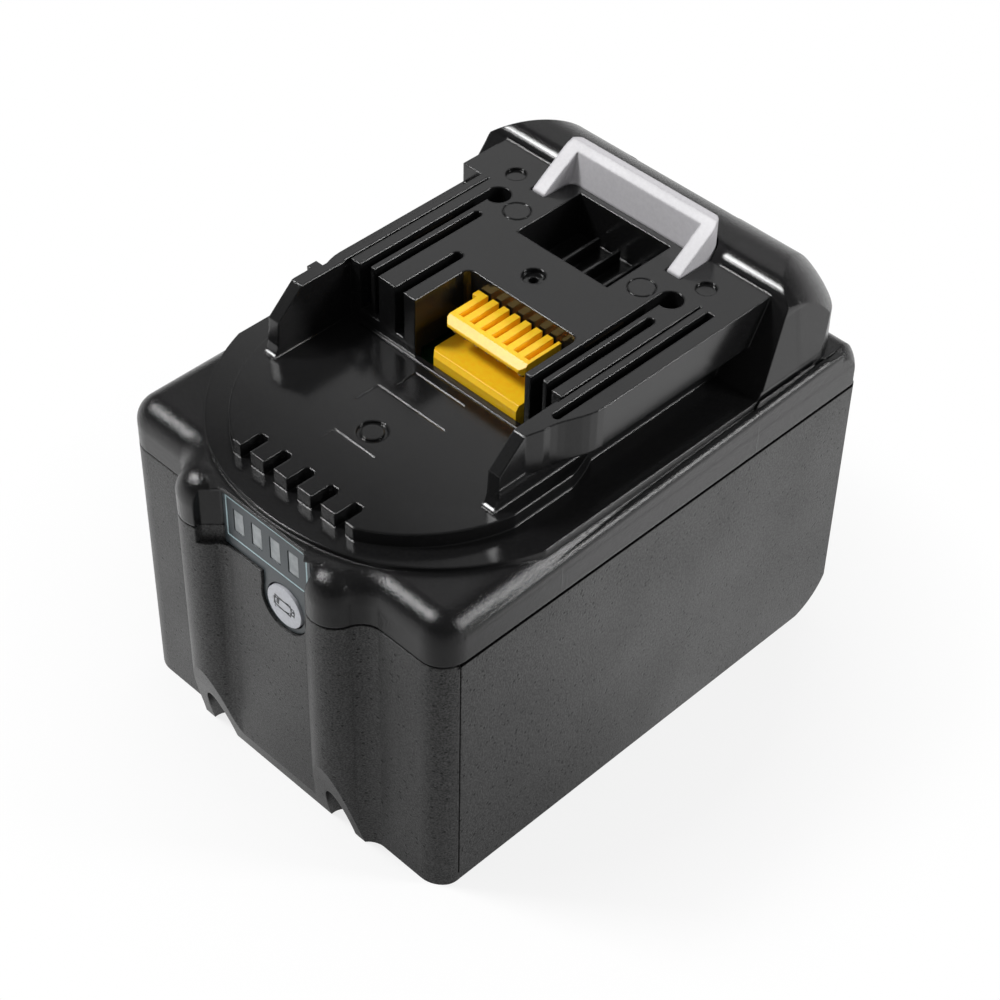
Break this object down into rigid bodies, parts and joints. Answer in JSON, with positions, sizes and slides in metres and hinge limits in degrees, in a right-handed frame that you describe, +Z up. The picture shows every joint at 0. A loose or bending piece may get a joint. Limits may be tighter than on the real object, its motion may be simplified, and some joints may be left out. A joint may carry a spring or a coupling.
{
  "type": "power tool battery pack",
  "caption": "Slide-on rechargeable battery pack for a cordless power tool, with guide rails, a terminal block, a sprung latch hook and a charge gauge.",
  "frame": {"origin": "middle of the flat bottom of the case", "axes": "+Z up through the rails, +Y towards the latch end, -Y towards the charge gauge, +X across the pack"},
  "size_m": [0.075, 0.105, 0.0832],
  "materials": {
    "lower_shell": "fine grained moulded texture",
    "upper_shell": "semi-gloss moulded black",
    "gauge_face": "satin slate grey",
    "lamp_window": "frosted light grey",
    "circuit_board": "solder mask green",
    "lamp_body": "clear resin",
    "switch_body": "stamped sheet",
    "button_face": "light grey",
    "latch_white": "smooth moulded white",
    "button_black": "moulded black",
    "spring_steel": "drawn wire",
    "terminal_yellow": "moulded yellow",
    "contact_brass": "plated spring metal",
    "chip_black": "moulded epoxy",
    "lead_red": "insulated wire",
    "lead_blue": "insulated wire",
    "cell_wrap": "shrink sleeve over a metal can",
    "holder_black": "moulded black",
    "nickel": "nickel strip",
    "insulating_sheet": "fibre sheet",
    "flexible_strip": "copper on film",
    "screw_steel": "zinc plated"
  },
  "bodies": {
    "case": {"lower_case": "lower_shell", "upper_case": "upper_shell", "gauge_panel": "gauge_face", "light_guide": "lamp_window", "gauge_board": "circuit_board", "gauge_lamps": "lamp_body", "check_switch": "switch_body", "latch_springs": "spring_steel", "terminal_block": "terminal_yellow", "signal_contacts": "contact_brass", "positive_terminal": "contact_brass", "negative_terminal": "contact_brass", "main_board": "circuit_board", "board_parts": "chip_black", "positive_lead": "lead_red", "negative_lead": "lead_blue", "cells_lower": "cell_wrap", "cells_middle": "cell_wrap", "cells_upper": "cell_wrap", "cell_holder_left": "holder_black", "cell_holder_right": "holder_black", "strips_left": "nickel", "strips_right": "nickel", "insulator_left": "insulating_sheet", "insulator_right": "insulating_sheet", "sense_strip": "flexible_strip", "case_screws": "screw_steel", "board_screws": "screw_steel"},
    "latch": {"latch_hook": "latch_white", "release_button": "button_black"},
    "button": {"check_button": "button_face"}
  },
  "joints": [
    {"name": "latch_slide", "type": "slide", "parent": "case", "child": "latch", "axis": [0, 0, -1], "range_m": [0, 0.0066], "stiffness_N_per_m": 900, "springref_m": -0.004, "deforming": ["latch_springs"]},
    {"name": "check_press", "type": "slide", "parent": "case", "child": "button", "axis": [0, 1, 0], "range_m": [0, 0.0006], "stiffness_N_per_m": 1500, "springref_m": -0.0006}
  ]
}
